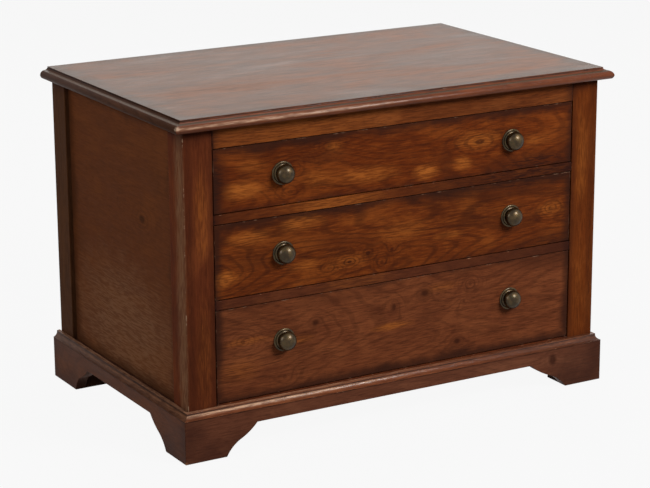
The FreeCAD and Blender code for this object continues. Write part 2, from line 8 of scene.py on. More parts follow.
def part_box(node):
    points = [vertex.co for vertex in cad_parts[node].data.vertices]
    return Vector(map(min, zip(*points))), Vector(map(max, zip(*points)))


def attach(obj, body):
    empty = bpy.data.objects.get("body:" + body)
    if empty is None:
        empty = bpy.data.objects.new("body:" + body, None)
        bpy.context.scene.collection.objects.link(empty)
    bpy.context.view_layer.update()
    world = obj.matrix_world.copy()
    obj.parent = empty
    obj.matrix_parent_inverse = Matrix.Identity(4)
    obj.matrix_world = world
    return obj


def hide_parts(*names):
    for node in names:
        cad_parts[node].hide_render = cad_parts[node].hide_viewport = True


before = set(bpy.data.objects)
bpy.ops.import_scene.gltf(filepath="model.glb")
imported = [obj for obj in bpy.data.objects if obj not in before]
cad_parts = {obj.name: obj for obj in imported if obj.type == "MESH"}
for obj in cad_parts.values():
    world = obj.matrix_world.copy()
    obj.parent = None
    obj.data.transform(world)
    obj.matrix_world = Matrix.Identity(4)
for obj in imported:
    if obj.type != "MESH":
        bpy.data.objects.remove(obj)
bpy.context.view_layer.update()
scene = bpy.context.scene

# Camera. It stands where the photographer stood, above the front left corner and about
# four metres off, with a long lens.
camera_place = Vector((-2.1472, -3.68325, 1.4718))
camera_turn = Euler([math.radians(angle) for angle in (74.3735, 0.2978, -30.2784)])
camera_data = bpy.data.cameras.new("photographers_camera")
camera_data.sensor_width = 36.0
camera_data.lens = 123.86
camera = bpy.data.objects.new("photographers_camera", camera_data)
camera.matrix_world = Matrix.Translation(camera_place) @ camera_turn.to_matrix().to_4x4()
scene.collection.objects.link(camera)
scene.camera = camera

# Light and floor. A wide soft lamp stands high at the front right, as in the studio, with
# weaker ones over the top and at the left, a board behind that the waxed top mirrors, and
# a plain pale floor that fades into a white backdrop.
scene.view_settings.view_transform = "Standard"


def soft_lamp(name, place, aim, width, height, watts):
    """A rectangular soft lamp that looks at a point."""
    data = bpy.data.lights.new(name, "AREA")
    data.shape = "RECTANGLE"
    data.size = width
    data.size_y = height
    data.energy = watts
    lamp = bpy.data.objects.new(name, data)
    lamp.location = place
    lamp.rotation_euler = (Vector(aim) - Vector(place)).to_track_quat("-Z", "Y").to_euler()
    lamp.visible_camera = False
    scene.collection.objects.link(lamp)


def backdrop_rays(tree):
    """One for the rays that see the white backdrop: the camera's, and those mirrored in wax or metal."""
    path = tree.nodes.new("ShaderNodeLightPath")
    rays = path.outputs["Is Camera Ray"]
    for kind in ("Is Glossy Ray", "Is Transmission Ray"):
        either = tree.nodes.new("ShaderNodeMath")
        either.operation = "MAXIMUM"
        tree.links.new(rays, either.inputs[0])
        tree.links.new(path.outputs[kind], either.inputs[1])
        rays = either.outputs[0]
    return rays


middle = (0.0, 0.0, 0.35)  # half way up the chest, where the lamps look
soft_lamp("key_lamp", (1.5, -3.0, 2.5), middle, 1.2, 1.2, 128.0)
soft_lamp("top_lamp", (0.3, 1.2, 3.0), middle, 2.2, 1.6, 30.0)
soft_lamp("side_lamp", (-3.2, -0.6, 1.9), middle, 1.6, 1.6, 42.0)
soft_lamp("rear_board", (1.9, 3.2, 1.75), (0.0, 0.0, 0.6), 3.4, 1.6, 20.0)

world = bpy.data.worlds.new("studio")
scene.world = world
world.use_nodes = True
sky = world.node_tree
sky.nodes.clear()
sky_out = sky.nodes.new("ShaderNodeOutputWorld")
room = sky.nodes.new("ShaderNodeBackground")
room.inputs["Color"].default_value = (1.0, 1.0, 1.0, 1.0)
room.inputs["Strength"].default_value = 0.2
seen = sky.nodes.new("ShaderNodeBackground")
seen.inputs["Color"].default_value = (1.0, 1.0, 1.0, 1.0)
seen.inputs["Strength"].default_value = 1.0
pick = sky.nodes.new("ShaderNodeMixShader")
sky.links.new(backdrop_rays(sky), pick.inputs["Fac"])
sky.links.new(room.outputs[0], pick.inputs[1])
sky.links.new(seen.outputs[0], pick.inputs[2])
sky.links.new(pick.outputs[0], sky_out.inputs["Surface"])

backdrop_share = 0.92  # of the floor's brightness that is backdrop, the rest keeps the shadow
floor_reach = 6.0
floor_mesh = bmesh.new()
bmesh.ops.create_grid(floor_mesh, x_segments=1, y_segments=1, size=floor_reach)
floor_data = bpy.data.meshes.new("studio_floor")
floor_mesh.to_mesh(floor_data)
floor_mesh.free()
studio_floor = bpy.data.objects.new("studio_floor", floor_data)
scene.collection.objects.link(studio_floor)
floor_paint = bpy.data.materials.new("pale_floor")
floor_paint.use_nodes = True
paint = floor_paint.node_tree
matt = paint.nodes["Principled BSDF"]
matt.inputs["Base Color"].default_value = (0.25, 0.25, 0.25, 1.0)
matt.inputs["Roughness"].default_value = 0.9
matt.inputs["Specular IOR Level"].default_value = 0.1
glow = paint.nodes.new("ShaderNodeEmission")
glow.inputs["Color"].default_value = (1.0, 1.0, 1.0, 1.0)
glow.inputs["Strength"].default_value = 1.0
share_seen = paint.nodes.new("ShaderNodeMath")
share_seen.operation = "MULTIPLY"
share_seen.inputs[1].default_value = backdrop_share
blend = paint.nodes.new("ShaderNodeMixShader")
paint.links.new(backdrop_rays(paint), share_seen.inputs[0])
paint.links.new(share_seen.outputs[0], blend.inputs["Fac"])
paint.links.new(matt.outputs[0], blend.inputs[1])
paint.links.new(glow.outputs[0], blend.inputs[2])
paint.links.new(blend.outputs[0], paint.nodes["Material Output"].inputs["Surface"])
floor_data.materials.append(floor_paint)

# Top board. One wide oak board, stained and waxed, with a small step, a cove and a round
# nose worked along the front and both ends, mitred at the corners and square at the back.


def step(tree, kind, settings=None, **sockets):
    """Add a node; each socket, by its name or as _ and its number, is linked or set."""
    node = tree.nodes.new(kind)
    for name, choice in (settings or {}).items():
        setattr(node, name, choice)
    for name, content in sockets.items():
        key = int(name[1:]) if name[0] == "_" and name[1:].isdigit() else name.replace("_", " ")
        if isinstance(content, bpy.types.NodeSocket):
            tree.links.new(content, node.inputs[key])
        else:
            node.inputs[key].default_value = content
    return node


def sums(tree, operation, first, second=0.0, clamp=False):
    """The output of one arithmetic step."""
    return step(tree, "ShaderNodeMath", {"operation": operation, "use_clamp": clamp}, _0=first, _1=second).outputs[0]


def ramp(tree, amount, low, high):
    """A soft step of an amount from 0 at low to 1 at high."""
    return step(tree, "ShaderNodeMapRange", {"interpolation_type": "SMOOTHSTEP"}, Value=amount, From_Min=low,
                From_Max=high).outputs[0]


def moved(tree, operation, first, second=(0.0, 0.0, 0.0)):
    """The output of one arithmetic step on places."""
    return step(tree, "ShaderNodeVectorMath", {"operation": operation}, _0=first, _1=second).outputs[0]


def noise(tree, place, factors, detail, **sockets):
    """The outputs of noise over a place, each axis scaled by its own factor."""
    place = moved(tree, "MULTIPLY", place, factors)
    return step(tree, "ShaderNodeTexNoise", Vector=place, Scale=1.0, Detail=detail, **sockets).outputs


def tinted(tree, share, first, second):
    """One colour laid over another by a share."""
    node = step(tree, "ShaderNodeMix", {"data_type": "RGBA", "clamp_factor": True})
    for socket, content in ((0, share), (6, first), (7, second)):
        if isinstance(content, bpy.types.NodeSocket):
            tree.links.new(content, node.inputs[socket])
        else:
            node.inputs[socket].default_value = content
    return node.outputs[2]


def effect(name, incoming, outgoing):
    """A shared effect with named inputs and outputs."""
    tree = bpy.data.node_groups.new(name, "ShaderNodeTree")
    for label, kind, start in incoming:
        socket = tree.interface.new_socket(name=label, in_out="INPUT", socket_type=kind)
        if start is not None:
            socket.default_value = start
    for label, kind in outgoing:
        tree.interface.new_socket(name=label, in_out="OUTPUT", socket_type=kind)
    return tree, tree.nodes.new("NodeGroupInput").outputs, tree.nodes.new("NodeGroupOutput").inputs


colour, number, arrow = "NodeSocketColor", "NodeSocketFloat", "NodeSocketVector"

# a knot: its dark core, the thin rings round it, how far the grain swells, and a soft patch
knot_figure, given, made = effect(
    "knot_figure", [("Place", arrow, None), ("Middle", arrow, (0, 0, 0)), ("Closeness", arrow, (1, 1, 1))],
    [("Swell", number), ("Core", number), ("Rings", number), ("Patch", number)],
)
off = moved(knot_figure, "SUBTRACT", given["Place"], given["Middle"])
off = moved(knot_figure, "MULTIPLY", off, given["Closeness"])
off = step(knot_figure, "ShaderNodeVectorMath", {"operation": "LENGTH"}, _0=off).outputs["Value"]
wobble = step(knot_figure, "ShaderNodeTexNoise", Vector=given["Place"], Scale=32.0, Detail=3.0,
              Roughness=0.55).outputs[0]
wobble = step(knot_figure, "ShaderNodeMapRange", Value=wobble, To_Min=0.65, To_Max=1.35).outputs[0]
off = sums(knot_figure, "MULTIPLY", off, wobble)
fade = sums(knot_figure, "EXPONENT", sums(knot_figure, "MULTIPLY", off, -0.3))
knot_figure.links.new(fade, made["Swell"])
knot_figure.links.new(ramp(knot_figure, off, 1.15, 0.35), made["Core"])
thin_rings = ramp(knot_figure, sums(knot_figure, "SINE", sums(knot_figure, "MULTIPLY", off, 5.0)), -0.1, 0.9)
broken = step(knot_figure, "ShaderNodeTexNoise", Vector=given["Place"], Scale=58.0, Detail=2.0).outputs[0]
thin_rings = sums(knot_figure, "MULTIPLY", thin_rings, ramp(knot_figure, broken, 0.32, 0.5))
knot_figure.links.new(sums(knot_figure, "MULTIPLY", thin_rings, fade), made["Rings"])
knot_figure.links.new(ramp(knot_figure, off, 1.5, 0.2), made["Patch"])

# oak grain runs along X: growth rings as thin flames, fine short strokes, soft patches, open pores
oak_grain, given, made = effect(
    "oak_grain",
    [("Place", arrow, None), ("Swell", number, 0.0), ("Ground", colour, (0.16, 0.05, 0.015, 1)),
     ("Light", colour, (0.33, 0.12, 0.04, 1)), ("Dark", colour, (0.04, 0.014, 0.007, 1)), ("Flame", number, 0.5),
     ("Patch", number, 1.0), ("Stroke", number, 0.5)],
    [("Color", colour), ("Height", number), ("Patches", number), ("Strokes", number)],
)
wander = noise(oak_grain, given["Place"], (3.0, 9.0, 9.0), 3.0)[1]
wander = step(oak_grain, "ShaderNodeVectorMath", {"operation": "MULTIPLY_ADD"}, _0=wander,
              _1=(0.02, 0.02, 0.02), _2=given["Place"]).outputs[0]
rings = noise(oak_grain, wander, (1.6, 9.0, 9.0), 1.0, Roughness=0.35)[0]
ring_turns, swell_turns = 150.0, 16.0  # how close the rings lie, how far a knot bends them
rings = sums(oak_grain, "ADD", sums(oak_grain, "MULTIPLY", rings, ring_turns),
             sums(oak_grain, "MULTIPLY", given["Swell"], swell_turns))
flames = ramp(oak_grain, sums(oak_grain, "SINE", rings), 0.3, 1.0)
strokes = noise(oak_grain, wander, (36.0, 430.0, 430.0), 2.0, Roughness=0.6)[0]
streaks = noise(oak_grain, wander, (9.0, 90.0, 90.0), 3.0, Roughness=0.6)[0]
pores = noise(oak_grain, wander, (60.0, 1100.0, 1100.0), 1.0)[0]
patches = noise(oak_grain, given["Place"], (7.0, 17.0, 17.0), 5.0, Roughness=0.6, Distortion=0.8)[0]
clouds = noise(oak_grain, given["Place"], (3.1, 6.3, 6.3), 4.0, Roughness=0.6)[0]
shade = tinted(oak_grain, sums(oak_grain, "MULTIPLY", ramp(oak_grain, patches, 0.46, 0.66), given["Patch"]),
               given["Ground"], given["Light"])
shade = tinted(oak_grain, sums(oak_grain, "MULTIPLY", ramp(oak_grain, clouds, 0.5, 0.75), 0.35), shade, given["Dark"])
for figure, low, high, share, tone in (
        (streaks, 0.5, 0.72, 0.25, "Light"), (streaks, 0.5, 0.28, 0.2, "Dark"),
        (strokes, 0.5, 0.68, 0.5, "Light"), (strokes, 0.5, 0.32, 0.6, "Dark")):
    amount = sums(oak_grain, "MULTIPLY", ramp(oak_grain, figure, low, high), share)
    amount = sums(oak_grain, "MULTIPLY", amount, given["Stroke"])
    shade = tinted(oak_grain, amount, shade, given[tone])
flames = sums(oak_grain, "MULTIPLY", flames, sums(oak_grain, "MULTIPLY", given["Flame"], 0.5))
shade = tinted(oak_grain, flames, shade, given["Dark"])
oak_grain.links.new(ramp(oak_grain, strokes, 0.42, 0.6), made["Strokes"])
open_pores = ramp(oak_grain, pores, 0.56, 0.7)
shade = tinted(oak_grain, sums(oak_grain, "MULTIPLY", open_pores, 0.25), shade, given["Dark"])
oak_grain.links.new(shade, made["Color"])
depth = sums(oak_grain, "ADD", sums(oak_grain, "MULTIPLY", open_pores, -1.0),
             sums(oak_grain, "MULTIPLY", strokes, 0.6))
oak_grain.links.new(depth, made["Height"])
oak_grain.links.new(patches, made["Patches"])

# the dark rubbed border that was toned round every panel
toned_border, given, made = effect(
    "toned_border",
    [("Place", arrow, None), ("Middle", arrow, (0, 0, 0)), ("Half size", arrow, (1, 1, 1)), ("Width", number, 0.02)],
    [("Mask", number)],
)
off = moved(toned_border, "ABSOLUTE", moved(toned_border, "SUBTRACT", given["Place"], given["Middle"]))
left = moved(toned_border, "SUBTRACT", given["Half size"], off)
parts = step(toned_border, "ShaderNodeSeparateXYZ", Vector=left).outputs
nearest = sums(toned_border, "MINIMUM", sums(toned_border, "MINIMUM", parts[0], parts[1]), parts[2])
blotch = step(toned_border, "ShaderNodeTexNoise", Vector=given["Place"], Scale=11.0, Detail=4.0,
              Roughness=0.6).outputs[0]
inward = sums(toned_border, "ADD", sums(toned_border, "DIVIDE", nearest, given["Width"]),
              sums(toned_border, "MULTIPLY", blotch, 1.5))
toned_border.links.new(ramp(toned_border, inward, 1.55, 0.75), made["Mask"])

# edges that were worn down to bare pale wood, on the bevels marked wear
worn_edge, given, made = effect("worn_edge", [("Place", arrow, None), ("Amount", number, 0.5)], [("Mask", number)])
mark = step(worn_edge, "ShaderNodeAttribute", {"attribute_name": "wear"}).outputs["Fac"]
rub = step(worn_edge, "ShaderNodeTexNoise", Vector=given["Place"], Scale=64.0, Detail=4.0, Roughness=0.65).outputs[0]
level = sums(worn_edge, "SUBTRACT", 0.78, sums(worn_edge, "MULTIPLY", given["Amount"], 0.4))
over = sums(worn_edge, "MULTIPLY", sums(worn_edge, "SUBTRACT", rub, level), 9.0, clamp=True)
worn_edge.links.new(sums(worn_edge, "MULTIPLY", over, mark, clamp=True), made["Mask"])


def tint(red, green, blue):
    """A colour from its screen values, 0 to 255."""
    light = []
    for part in (red, green, blue):
        part /= 255
        light.append(part / 12.92 if part <= 0.04045 else ((part + 0.055) / 1.055) ** 2.4)
    return (*light, 1.0)


grain_turns = {"X": (0, 0, 0), "Y": (0, 0, math.pi / 2), "Z": (0, math.pi / 2, 0)}


# A spot is (place, one over its reach along each axis, tone, share), and a knot (place, the
# same, how dark its core is, how dark its rings are). A 0.0 there is a reach without end.
def stained_oak(name, grain, shift, border=None, ground=(104, 48, 22), light=(158, 86, 38), dark=(46, 21, 13),
                flame=0.5, patch=0.7, border_width=0.03, border_tone=(40, 20, 17), border_depth=0.8, wear=0.5,
                wear_tone=(150, 108, 82), roughness=(0.34, 0.5), gloss=0.02, stroke=0.7, pull=(1.0, 1.0, 1.0),
                knots=(), spots=()):
    """Dark stained and waxed oak: grain along an axis, knots, toned spots and border, worn edges; some spots are
    painted highlights and painted shade.
    """
    material = bpy.data.materials.new(name)
    material.use_nodes = True
    tree = material.node_tree
    skin = tree.nodes["Principled BSDF"]
    skin.inputs["Specular IOR Level"].default_value = gloss
    place = step(tree, "ShaderNodeTexCoord").outputs["Object"]
    turned = step(tree, "ShaderNodeMapping", {"vector_type": "POINT"}, Vector=place, Location=shift, Scale=pull,
                  Rotation=grain_turns[grain]).outputs[0]
    oak = step(tree, "ShaderNodeGroup", {"node_tree": oak_grain}, Place=turned, Ground=tint(*ground),
               Light=tint(*light), Dark=tint(*dark), Flame=flame, Patch=patch, Stroke=stroke)
    shade = oak.outputs["Color"]
    for middle_of_spot, closeness, tone, share in spots:
        spot = step(tree, "ShaderNodeGroup", {"node_tree": knot_figure}, Place=place, Middle=middle_of_spot,
                    Closeness=closeness)
        grained = sums(tree, "MULTIPLY", spot.outputs["Patch"], step(
            tree, "ShaderNodeMapRange", Value=oak.outputs["Strokes"], To_Min=0.35 * share, To_Max=share).outputs[0])
        shade = tinted(tree, grained, shade, tint(*tone))
    swell = None
    for middle_of_knot, closeness, core, ringed in knots:
        knot = step(tree, "ShaderNodeGroup", {"node_tree": knot_figure}, Place=place, Middle=middle_of_knot,
                    Closeness=closeness)
        swell = knot.outputs["Swell"] if swell is None else sums(tree, "MAXIMUM", swell, knot.outputs["Swell"])
        shade = tinted(tree, sums(tree, "MULTIPLY", knot.outputs["Rings"], ringed), shade, tint(*dark))
        shade = tinted(tree, sums(tree, "MULTIPLY", knot.outputs["Core"], core), shade, tint(*dark))
    if swell is not None:
        tree.links.new(swell, oak.inputs["Swell"])
    if border is not None:
        low, high = border
        edge = step(tree, "ShaderNodeGroup", {"node_tree": toned_border}, Place=place, Middle=(low + high) / 2,
                    Half_size=(high - low) / 2, Width=border_width)
        shade = tinted(tree, sums(tree, "MULTIPLY", edge.outputs[0], border_depth), shade, tint(*border_tone))
    bare = step(tree, "ShaderNodeGroup", {"node_tree": worn_edge}, Place=place, Amount=wear)
    shade = tinted(tree, bare.outputs[0], shade, tint(*wear_tone))
    tree.links.new(shade, skin.inputs["Base Color"])
    rough = step(tree, "ShaderNodeMapRange", Value=oak.outputs["Patches"], From_Min=0.3, From_Max=0.7,
                 To_Min=roughness[0], To_Max=roughness[1])
    tree.links.new(rough.outputs[0], skin.inputs["Roughness"])
    bump = step(tree, "ShaderNodeBump", Height=oak.outputs["Height"], Strength=0.25, Distance=0.0006)
    tree.links.new(bump.outputs[0], skin.inputs["Normal"])
    return material


sharp_angle = math.radians(28.0)  # the least angle of an edge that is broken
facing_down = -0.3  # a bevel turned further down than this is never rubbed
same_flat = 0.9995  # a face within this of a board's own flats is no bevel


def eased(mesh, width):
    """Break the sharp edges of a board and mark the new faces as places that wear."""
    wear = mesh.loops.layers.float_color.get("wear") or mesh.loops.layers.float_color.new("wear")
    bmesh.ops.recalc_face_normals(mesh, faces=mesh.faces)
    sharp = [edge for edge in mesh.edges if edge.is_manifold and edge.calc_face_angle() > sharp_angle]
    ends = list({end for edge in sharp for end in edge.verts})
    flats = [face.normal.copy() for face in mesh.faces]
    bmesh.ops.bevel(mesh, geom=sharp + ends, offset=width, offset_type="OFFSET", affect="EDGES",
                    segments=2, profile=0.5, material=-1, clamp_overlap=True)
    for face in mesh.faces:
        face.normal_update()
        rounded = face.normal.z > facing_down and max(face.normal.dot(flat) for flat in flats) < same_flat
        for loop in face.loops:
            loop[wear] = (1.0, 1.0, 1.0, 1.0) if rounded else (0.0, 0.0, 0.0, 1.0)


merge_distance = 1e-6
broad_face = 0.006  # square metres: a face this large is flat, the smaller ones round an edge


def dressed(name, mesh, body, material, slot, *nodes, smooth=30.0):
    """Finish a piece: its object, finish, body and the solids that it stands for."""
    bmesh.ops.remove_doubles(mesh, verts=mesh.verts, dist=merge_distance)
    bmesh.ops.recalc_face_normals(mesh, faces=mesh.faces)
    for face in mesh.faces:
        face.smooth = face.calc_area() < broad_face
    for edge in mesh.edges:
        edge.smooth = edge.is_manifold and edge.calc_face_angle() < math.radians(smooth)
    data = bpy.data.meshes.new(name)
    mesh.to_mesh(data)
    mesh.free()
    for finish in material if isinstance(material, tuple) else (material,):
        data.materials.append(finish)
    piece = bpy.data.objects.new(name, data)
    scene.collection.objects.link(piece)
    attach(piece, body)
    if nodes:
        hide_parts(*nodes)
    return piece


def arc(start, stop, rise, count):
    """Points of an arc from start to stop, its crown to the left by a share of the chord."""
    start, stop = Vector(start), Vector(stop)
    chord = stop - start
    across = Vector((-chord.y, chord.x))
    points = []
    for index in range(1, count + 1):
        share = index / count
        half = 2 * math.atan(2 * rise)
        angle = half * (1 - 2 * share)
        along = 0.5 - math.sin(angle) / (2 * math.sin(half))
        lift = (math.cos(angle) - math.cos(half)) / (2 * math.sin(half))
        points.append(start + chord * along + across * lift)
    return points


top_low, top_high = (Vector(corner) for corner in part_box("top_board"))
top_thickness = 0.022
edge_overhang = 0.023
# the worked edge, each point as (reach past the case, drop under the top's face)
step_foot = (0.007, -0.0028)
cove_foot = (0.0155, -0.0065)
nose_tip = (edge_overhang, -0.0155)
nose_foot = (0.0195, -top_thickness)
edge_stations = [Vector((step_foot[0], 0.0)), Vector(step_foot)]
edge_stations += arc(step_foot, cove_foot, -0.12, 4)
edge_stations += arc(cove_foot, nose_tip, 0.16, 6)
edge_stations += arc(nose_tip, nose_foot, 0.09, 4)
board = bmesh.new()
corners = [board.verts.new((x, y, top_high.z)) for x, y in (
    (top_low.x, top_low.y), (top_high.x, top_low.y), (top_high.x, top_high.y), (top_low.x, top_high.y))]
board.faces.new(corners)
rim = list(board.edges)
for index, (reach, drop) in enumerate(edge_stations):
    if index:
        grown = bmesh.ops.extrude_edge_only(board, edges=rim)["geom"]
        corners = [part for part in grown if isinstance(part, bmesh.types.BMVert)]
        rim = [part for part in grown if isinstance(part, bmesh.types.BMEdge)]
    inset = edge_overhang - reach
    for corner in corners:
        corner.co.x = top_low.x + inset if corner.co.x < 0 else top_high.x - inset
        corner.co.y = top_low.y + inset if corner.co.y < 0 else top_high.y
        corner.co.z = top_high.z + drop
bmesh.ops.holes_fill(board, edges=rim, sides=4)
top_ease = 0.0006
eased(board, top_ease)
# the flat, the front edge and the end edges each take their own finish; the end edges' darker one is painted shade
for face in board.faces:
    flat = face.normal.z > 0.9
    face.material_index = 0 if flat else 1 if abs(face.normal.y) > abs(face.normal.x) else 2
flat_edge = 0.016  # from the nose to the flat of the top
top_border = (Vector((top_low.x + flat_edge, top_low.y + flat_edge, -1.0)),
              Vector((top_high.x - flat_edge, top_high.y, 3.0)))
top_oak = stained_oak(
    "top_oak", "X", (0.31, 0.17, 0.0), top_border, ground=(96, 64, 42), light=(128, 82, 54),
    dark=(60, 46, 34), flame=0.3, patch=0.8, stroke=1.0, pull=(0.45, 0.6, 0.6), border_width=0.05,
    border_tone=(72, 58, 46), border_depth=0.75, wear=0.5, roughness=(0.3, 0.42), gloss=0.04)
# a dark band painted along the small step under the top's flat: painted shade in the step, with its dirt
step_shade_and_dirt = ((0.0, 0.0, top_high.z - 0.0022), (0.0, 0.0, 1 / 0.0016), (26, 14, 10), 0.9)
# a pale spot on the nose at the front left corner: a painted highlight
painted_corner_highlight = ((top_low.x + 0.004, top_low.y + 0.004, top_high.z - 0.012),
        (1 / 0.005, 1 / 0.005, 1 / 0.004), (206, 176, 150), 0.9)
# a pale band along the front nose, brightest at the left: a painted highlight
painted_nose_highlight = ((-0.3, 0.0, top_high.z - 0.0125), (1 / 0.3, 0.0, 1 / 0.003), (190, 152, 124), 0.75)
front_edge_oak = stained_oak(
    "top_front_edge_oak", "X", (0.8, 0.4, 0.2), ground=(100, 50, 26), light=(128, 68, 36),
    dark=(58, 30, 18), patch=0.5, stroke=0.4, wear=0.5, wear_tone=(190, 152, 126),
    roughness=(0.2, 0.28), gloss=0.12, spots=(step_shade_and_dirt, painted_nose_highlight, painted_corner_highlight))
# the end edges of the top take a darker, duller copy of the edge's oak: painted shade for the side that the lamps
# leave dark
shaded_side_edge_oak = stained_oak(
    "top_side_edge_shaded_oak", "Y", (0.3, 0.4, 0.7), ground=(66, 42, 30), light=(84, 54, 38), dark=(42, 26, 20), patch=0.5,
    stroke=0.4, wear=0.3, roughness=(0.3, 0.4), gloss=0.008, spots=(step_shade_and_dirt, painted_corner_highlight))
dressed("top_board_worked", board, "case", (top_oak, front_edge_oak, shaded_side_edge_oak), "stained_oak", "top_board")

# Corner posts. Four square oak posts with softened corners, the grain upright, darker at
# both ends where stain was rubbed on. The rear pair is cut out behind for the back panel.


def sawn(low, high, ease):
    """A sawn and planed board between two corners, its edges broken."""
    mesh = bmesh.new()
    bmesh.ops.create_cube(mesh, size=1.0)
    size = high - low
    bmesh.ops.scale(mesh, vec=size, verts=mesh.verts)
    bmesh.ops.translate(mesh, vec=(low + high) / 2, verts=mesh.verts)
    eased(mesh, ease)
    return mesh


def node_box(node):
    """The lowest and highest corners of a solid of the frame."""
    return tuple(Vector(corner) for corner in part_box(node))


def swept(points, thickness):
    """A flat outline given thickness: closed, with its faces outward."""
    mesh = bmesh.new()
    face = mesh.faces.new([mesh.verts.new(point) for point in points])
    grown = bmesh.ops.extrude_face_region(mesh, geom=[face])["geom"]
    ends = [part for part in grown if isinstance(part, bmesh.types.BMVert)]
    bmesh.ops.translate(mesh, vec=thickness, verts=ends)
    bmesh.ops.recalc_face_normals(mesh, faces=mesh.faces)
    return mesh


post_looks = {
    "front_left_post": ((0.1, 0.5, 0.2), (90, 43, 24), (118, 61, 32)),
    "front_right_post": ((0.7, 0.1, 0.9), (98, 46, 18), (126, 66, 28)),
    "rear_left_post": ((1.3, 0.9, 0.4), (76, 48, 30), (94, 60, 38)),
    "rear_right_post": ((1.9, 0.3, 0.7), (92, 46, 24), (130, 70, 36)),
}
orange, umber = (170, 96, 38), (50, 24, 16)
far = 5.0  # puts a side of a border box out of reach
post_ease = 0.0014
back_low, back_high = node_box("back_panel")
for node, (shift, ground, light) in post_looks.items():
    low, high = node_box(node)
    inner, outer = sorted((low.x, high.x), key=abs)
    border = (Vector((low.x - far, low.y - far, low.z)), Vector((high.x + far, high.y + far, high.z)))
    spots = [((0.4 * outer + 0.6 * inner, low.y, rise), (1 / 0.014, 1 / 0.03, 1 / tall), orange, share)
             for rise, tall, share in ((0.47, 0.07, 0.3), (0.40, 0.03, 0.2), (0.2, 0.09, 0.15))]
    for across, share in ((0.85 * outer + 0.15 * inner, 0.6), (inner, 0.6)):
        spots.append(((across, low.y, 0.35), (1 / 0.009, 1 / 0.004, 1 / 0.5), umber, share))
    # a pale upright strip on the outer face of each front post, near its front arris: a painted highlight
    spots.append(((outer, low.y + 0.014, 0.3), (1 / 0.003, 1 / 0.018, 1 / 0.6), (124, 90, 64), 0.85))
    post_oak = stained_oak(f"{node}_oak", "Z", shift, border, ground=ground, light=light, flame=0.3,
                           patch=0.5, stroke=0.45, border_width=0.045, border_depth=0.6,
                           wear=0.54 if node == "front_left_post" else 0.2, wear_tone=(148, 118, 94),
                           gloss=0.004, spots=spots if node.startswith("front") else ())
    if node.startswith("rear"):
        edge = math.copysign(back_high.x, outer)
        outline = ((outer, low.y), (inner, low.y), (inner, back_low.y), (edge, back_low.y), (edge, high.y),
                   (outer, high.y))
        post = swept([(across, along, low.z) for across, along in outline], (0.0, 0.0, high.z - low.z))
        eased(post, post_ease)
    else:
        post = sawn(low, high, post_ease)
    wear = post.loops.layers.float_color["wear"]
    for face in post.faces:
        if abs(face.calc_center_median().x) < abs(low.x + high.x) / 2:
            for loop in face.loops:
                loop[wear] = (0.0, 0.0, 0.0, 1.0)
    dressed(f"{node}_worked", post, "case", post_oak, "stained_oak", node)

# Front rails. A top rail, two dividers and a bottom rail of oak, tenoned into the posts,
# with the grain running across. Each has toned places as (along, reach, tone, share).
rail_looks = {
    "front_top_rail": (
        (0.2, 0.9, 0.1), (104, 52, 23), (138, 76, 36), [(-0.22, 0.16, orange, 0.25), (0.16, 0.12, umber, 0.2)]),
    "front_upper_divider_rail": (
        (0.9, 0.2, 0.6), (94, 44, 19), (130, 68, 30),
        [(-0.14, 0.1, orange, 0.5), (0.34, 0.34, umber, 1.0), (0.4, 0.14, umber, 0.9), (-0.4, 0.06, umber, 0.6)]),
    "front_lower_divider_rail": (
        (1.4, 0.6, 0.3), (80, 40, 25), (104, 56, 32),
        [(-0.1, 0.08, orange, 0.2), (0.2, 0.14, umber, 0.35), (0.37, 0.13, umber, 0.6)]),
    "front_bottom_rail": ((2.1, 0.4, 0.8), (84, 40, 22), (110, 56, 28), []),
}
post_face = node_box("front_right_post")[0].x
joint_line = 0.0035  # the dark line where a rail meets a post
rail_ease = 0.0008
for node, (shift, ground, light, places) in rail_looks.items():
    low, high = node_box(node)
    low.x, high.x = -post_face, post_face
    border = (Vector((low.x, low.y - far, low.z - far)), Vector((high.x, high.y + far, high.z + far)))
    spots = [((along, low.y, (low.z + high.z) / 2), (1 / long, 1.0, 1.0), tone, share)
             for along, long, tone, share in places]
    spots += [((end, low.y, 0.0), (1 / joint_line, 0.0, 0.0), (20, 11, 8), 1.0) for end in (-post_face, post_face)]
    rail_oak = stained_oak(f"{node}_oak", "X", shift, border, ground=ground, light=light, flame=0.3, patch=0.6,
                           border_width=0.03, border_depth=0.6, wear=0.45, spots=spots)
    dressed(f"{node}_worked", sawn(low, high, rail_ease), "case", rail_oak, "stained_oak", node)

# Side panels. Wide oak boards let into grooves in the posts, set back from their faces,
# with upright grain and a dark rubbed border.
side_looks = {"left_side_panel": (0.45, 0.3, 0.2), "right_side_panel": (1.1, 0.8, 0.5)}
panel_foot = 0.008  # of the panel is behind the plinth's moulding
panel_ease = 0.0006
panel_from = node_box("front_left_post")[1].y
panel_to = node_box("rear_left_post")[0].y
for node, shift in side_looks.items():
    low, high = node_box(node)
    border = (Vector((low.x - far, panel_from, low.z + panel_foot)), Vector((high.x + far, panel_to, high.z)))
    knots = [((low.x, -0.083, 0.411), (1.0, 1 / 0.015, 1 / 0.010), 0.9, 0.35),
             ((low.x, 0.02, 0.427), (1.0, 1 / 0.005, 1 / 0.004), 0.3, 0.1)]
    spots = [((low.x, 0.0, 0.17), (1.0, 1 / 0.22, 1 / 0.13), (122, 84, 58), 0.85)]
    panel_oak = stained_oak(f"{node}_oak", "Y", shift, border, ground=(94, 51, 27), light=(112, 64, 35),
                            dark=(66, 37, 20), flame=0.2, patch=0.4, stroke=0.45, border_width=0.04,
                            border_tone=(50, 30, 20), border_depth=0.55, wear=0.2, gloss=0.004,
                            knots=knots, spots=spots)
    dressed(f"{node}_worked", sawn(low, high, panel_ease), "case", panel_oak, "stained_oak", node)

